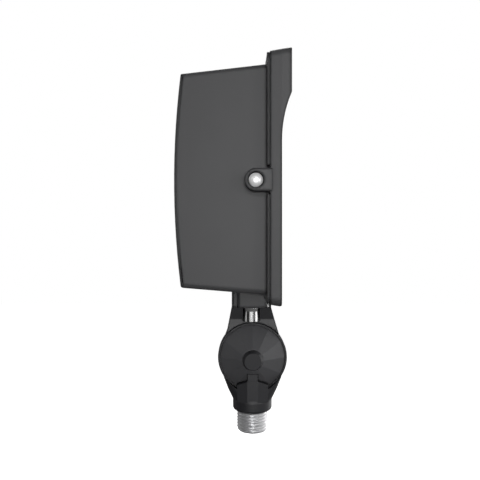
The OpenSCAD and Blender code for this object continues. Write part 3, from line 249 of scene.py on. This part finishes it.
LOOKS = {
    "housing_coat": dict(color=(0.052, 0.052, 0.054), rough=0.5, edge=0.0006, shine=0.32),
    "frame_coat": dict(color=(0.05, 0.05, 0.052), rough=0.5, edge=0.0005, shine=0.32),
    "arm_coat": dict(color=(0.056, 0.056, 0.058), rough=0.5, shine=0.34),
    "knuckle_coat": dict(color=(0.011, 0.011, 0.013), rough=0.5, shine=0.38),
    "cover": dict(color=(0.05, 0.05, 0.053), rough=0.5, edge=0.0005, shine=0.4),
    "plug": dict(color=(0.017, 0.017, 0.019), rough=0.6, grain=3500, edge=0.0005, shine=0.3),
    "stainless": dict(color=(0.72, 0.72, 0.72), rough=0.16, metallic=1.0, grain=900, bump=0.015,
                      rough_change=0.04, edge=0.0002),
    "zinc_steel": dict(color=(0.6, 0.6, 0.61), rough=0.4, metallic=0.9, grain=1500, bump=0.02, edge=0),
    "steel": dict(color=(0.58, 0.58, 0.59), rough=0.3, metallic=1.0, grain=1500, bump=0.06, edge=0.0001),
    "gasket": dict(color=(0.03, 0.03, 0.03), rough=0.7, edge=0),
    "reflector": dict(color=(0.74, 0.74, 0.75), rough=0.26, metallic=1.0, grain=900, bump=0.05,
                      edge=0.0002),
    "board": dict(color=(0.82, 0.82, 0.8), rough=0.4, grain=1500, edge=0),
    "phosphor": dict(color=(0.9, 0.74, 0.18), rough=0.35, grain=4000, change=0.12, edge=0.0001),
    "thermal_pad": dict(color=(0.4, 0.45, 0.5), rough=0.7, edge=0),
    "spreader": dict(color=(0.75, 0.75, 0.76), rough=0.35, metallic=1.0, grain=800, edge=0.0001,
                     stretch=(1, 6, 1)),
    "driver_case": dict(color=(0.05, 0.05, 0.055), rough=0.5, edge=0.0003),
    "terminal": dict(color=(0.8, 0.8, 0.76), rough=0.45, edge=0.0002),
    "ground_green": dict(color=(0.05, 0.3, 0.08), rough=0.35, edge=0.0001),
    "lead_red": dict(color=(0.5, 0.03, 0.03), rough=0.45, edge=0),
    "lead_black": dict(color=(0.03, 0.03, 0.03), rough=0.45, edge=0),
    "vent": dict(color=(0.04, 0.04, 0.04), rough=0.5, edge=0.0002),
    "friction": dict(color=(0.2, 0.17, 0.14), rough=0.8, edge=0),
}
# How far the painted edge shade of each casting reaches
EDGE_SHADE_RADII = {"housing_coat": 0.0028, "frame_coat": 0.0022, "arm_coat": 0.0016}

MATS = {name: finish(name, **look) for name, look in LOOKS.items()}
MATS["lens"] = clear("lens", color=(0.95, 0.98, 0.98), rough=0.015)
# Painted shade on the rounded edges of the castings
for name, radius in EDGE_SHADE_RADII.items():
    painted_edge_shade(MATS[name], radius)
pale_heads(MATS["stainless"])
# Painted shade on the band of the upper arm under the neck
painted_band_shade(MATS["arm_coat"])

for part in frame["record"]["subparts"]:
    slots = NODES[part["node"]].data.materials
    slots.clear()
    slots.append(MATS[part["material_slot"]])


# Pieces made here

def piece(name, verts, faces, material, body, smooth, node=None):
    """A mesh on a body, shaded smooth over edges under that many degrees, in a node's stead if given."""
    mesh = bpy.data.meshes.new(name)
    mesh.from_pydata(verts, [], faces)
    mesh.update()
    mesh.materials.append(MATS[material])
    mesh.shade_smooth()
    mesh.set_sharp_from_angle(angle=math.radians(smooth))
    o = bpy.data.objects.new(name, mesh)
    scene.collection.objects.link(o)
    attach(o, body)
    if node:
        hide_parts(node)


# Pitch and depth of the thread, as the photo shows them
PITCH = 0.00203
THREAD_DEPTH = 0.0009
ROWS_PER_TURN = 16
ROUND_N = 80
# The lead-in at the foot takes this off the radius
LEAD_IN = 0.0011
BORE_R = 0.008
# Chamfer at the foot of the bore
BORE_EDGE = 0.0008
# Radius of the shank in the collar
SHANK_R = 0.00998
# How far the thread stays inside the solid nipple's crests and ends, and under the collar
CREST_GAP = 0.00003
END_GAP = 0.00005
COLLAR_GAP = 0.0002


def threaded_nipple():
    """The nipple with its thread cut in: one closed skin of rings, up the outside and down the bore."""
    nipple_low, nipple_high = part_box("nipple")
    collar_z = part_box("lower_arm")[0].z
    crest = nipple_high.x - CREST_GAP
    low = nipple_low.z + END_GAP
    high = collar_z - COLLAR_GAP
    shank_top = nipple_high.z - END_GAP

    def thread_radius(z, turn):
        cut = 0.5 + 0.5 * math.cos(2 * math.pi * (z / PITCH - turn))
        return min(crest - THREAD_DEPTH * cut, crest - LEAD_IN + (z - low))

    turns = [k / ROUND_N for k in range(ROUND_N)]
    rows = int((high - low) / PITCH * ROWS_PER_TURN)
    heights = [low + (high - low) * row / rows for row in range(rows + 1)]
    rings = [(z, [thread_radius(z, turn) for turn in turns]) for z in heights]
    inner = [(high, SHANK_R), (shank_top, SHANK_R), (shank_top, BORE_R), (low, BORE_R),
             (low, BORE_R + BORE_EDGE)]
    rings += [(z, [radius] * ROUND_N) for z, radius in inner]

    verts = []
    for z, radii in rings:
        for turn, radius in zip(turns, radii):
            angle = 2 * math.pi * turn
            verts.append((radius * math.cos(angle), radius * math.sin(angle), z))
    faces = []
    for ring in range(len(rings)):
        this = ring * ROUND_N
        after_this = (ring + 1) % len(rings) * ROUND_N
        for k in range(ROUND_N):
            j = (k + 1) % ROUND_N
            faces.append((this + k, this + j, after_this + j, after_this + k))
    piece("threaded_nipple", verts, faces, "zinc_steel", "base", 80, "nipple")


# The column's front face, half its width and its place towards the camera
FRONT_X = 0.0037
FRONT_Y = -0.01276
# The column's side edges, likewise, and the back of the drawn faces inside the casting
SIDE_X = 0.0106
SIDE_Y = -0.0104
BACK_Y = -0.0075
# Foot of the faces just above the collar, and their tops at the sides and beside the front
FACES_LOW = 0.0072
SIDE_TOP = 0.0186
SHOULDER_TOP = 0.0216


def column_front():
    """The column's three flat faces from the collar up to the cover, ahead of the funnel's bulge."""
    half = [(SIDE_X, BACK_Y, SIDE_TOP), (SIDE_X, SIDE_Y, SIDE_TOP), (FRONT_X, FRONT_Y, SHOULDER_TOP)]
    plan = [(-x, y, top) for x, y, top in half] + half[::-1]
    n = len(plan)
    verts = [(x, y, FACES_LOW) for x, y, top in plan] + plan
    faces = [(k, k + 1, k + 1 + n, k + n) for k in range(n - 1)]
    faces += [(n - 1, 0, n, 2 * n - 1), tuple(reversed(range(n)))]
    faces += [(n, n + 1, n + 2), (n, n + 2, n + 3, n + 5), (n + 3, n + 4, n + 5)]
    piece("column_front", verts, faces, "knuckle_coat", "base", 10)


threaded_nipple()
column_front()


# Camera

# The photograph's width and the camera's focal length, both in its pixels
PHOTO_WIDTH = 480
FOCAL = 500
# Blender's sensor, in millimetres
SENSOR_WIDTH = 36.0
CAMERA_PLACE = (-0.0086, -0.3489, 0.1171)

cam_data = bpy.data.cameras.new("camera")
cam_data.sensor_fit = "HORIZONTAL"
cam_data.sensor_width = SENSOR_WIDTH
cam_data.lens = SENSOR_WIDTH * FOCAL / PHOTO_WIDTH
cam_data.clip_start = 0.01
cam = bpy.data.objects.new("camera", cam_data)
cam.location = CAMERA_PLACE
cam.rotation_euler = (math.radians(90), 0, 0)
scene.collection.objects.link(cam)
scene.camera = cam


# Light

LIGHT_CENTRE = Vector((0, 0, 0.1))
LAMP_REACH = 2.0
# Each soft panel's name, side in degrees (0 is the camera's side, 90 is +X), degrees above the
# level, width, height and radiance
LAMPS = [
    ("key", 0, 2.0, 1.2, 0.3, 14.5),
    ("key_up", 0, 21, 0.45, 0.5, 12.0),
    ("front_low", -2, -8, 2.3, 0.4, 0.65),
    ("right_front", 45, 4, 0.55, 0.4, 12.0),
    ("right", 95, 12, 2.6, 2.0, 1.5),
    ("right_back", 132, -2, 1.4, 1.2, 4.2),
    ("left", -115, 5, 2.6, 1.5, 0.5),
    ("left_up", -55, 25, 0.8, 0.8, 1.0),
    ("back_up", 178, 42, 1.8, 1.0, 5.0),
]


def lamp(name, side, up, width, height, radiance):
    """A soft panel that faces the object from the given side."""
    panel = bpy.data.lights.new(name, "AREA")
    panel.shape = "RECTANGLE"
    panel.size = width
    panel.size_y = height
    panel.energy = radiance * math.pi * width * height
    azimuth = math.radians(side)
    elevation = math.radians(up)
    way = Vector((math.sin(azimuth) * math.cos(elevation), -math.cos(azimuth) * math.cos(elevation),
                  math.sin(elevation)))
    o = bpy.data.objects.new(name, panel)
    o.location = LIGHT_CENTRE + LAMP_REACH * way
    o.rotation_euler = (-way).to_track_quat("-Z", "Y").to_euler()
    scene.collection.objects.link(o)


for row in LAMPS:
    lamp(*row)

WHITE = (1, 1, 1, 1)
# The room's light below and above, and the ray heights that they go with, 1 being straight up
ROOM_DARK = 0.03
ROOM_BRIGHT = 0.1
ROOM_LOW = -0.2
ROOM_HIGH = 1.0


def world_light():
    """White where the camera looks, and a soft room for all other rays, brighter above than below."""
    world = bpy.data.worlds.new("white")
    scene.world = world
    world.use_nodes = True
    tree = world.node_tree
    tree.nodes.clear()
    way = add(tree, "ShaderNodeTexCoord").outputs["Generated"]
    height = add(tree, "ShaderNodeSeparateXYZ", {"Vector": way}).outputs["Z"]
    strength = add(tree, "ShaderNodeMapRange",
                   {"Value": height, "From Min": ROOM_LOW, "From Max": ROOM_HIGH,
                    "To Min": ROOM_DARK, "To Max": ROOM_BRIGHT}).outputs["Result"]
    room = add(tree, "ShaderNodeBackground", {"Color": WHITE, "Strength": strength})
    backdrop = add(tree, "ShaderNodeBackground", {"Color": WHITE, "Strength": 1.0})
    ray = add(tree, "ShaderNodeLightPath").outputs
    seen = calc(tree, "MAXIMUM", ray["Is Camera Ray"], ray["Is Transmission Ray"])
    mix = add(tree, "ShaderNodeMixShader", {0: seen, 1: room.outputs[0], 2: backdrop.outputs[0]})
    add(tree, "ShaderNodeOutputWorld", {"Surface": mix.outputs[0]})


world_light()


# Floor

FLOOR_HALF = 6.0
FLOOR_Z = -0.7
FLOOR_COLOR = (0.8, 0.8, 0.8, 1)
FLOOR_ROUGH = 0.9
# What the floor gives off to the camera alone, and its colour for all other rays
FLOOR_GLOW = 0.95
FLOOR_DIM = (0.12, 0.12, 0.12, 1)


def floor_material():
    """Pale where the camera looks, and too dim to light the object from below."""
    material, tree, shader = new_material("floor")
    feed(tree, shader, {"Base Color": FLOOR_COLOR, "Roughness": FLOOR_ROUGH})
    glow = add(tree, "ShaderNodeEmission", {"Color": WHITE, "Strength": FLOOR_GLOW})
    pale = add(tree, "ShaderNodeAddShader", {0: shader.outputs[0], 1: glow.outputs[0]})
    dim = add(tree, "ShaderNodeBsdfDiffuse", {"Color": FLOOR_DIM})
    seen = add(tree, "ShaderNodeLightPath").outputs["Is Camera Ray"]
    mix = add(tree, "ShaderNodeMixShader", {0: seen, 1: dim.outputs[0], 2: pale.outputs[0]})
    output = next(n for n in tree.nodes if n.type == "OUTPUT_MATERIAL")
    feed(tree, output, {"Surface": mix.outputs[0]})
    return material


corners = [(-1, -1), (1, -1), (1, 1), (-1, 1)]
floor_mesh = bpy.data.meshes.new("floor")
floor_mesh.from_pydata([(x * FLOOR_HALF, y * FLOOR_HALF, FLOOR_Z) for x, y in corners], [], [(0, 1, 2, 3)])
floor_mesh.materials.append(floor_material())
floor = bpy.data.objects.new("floor", floor_mesh)
scene.collection.objects.link(floor)

scene.view_settings.view_transform = "Standard"
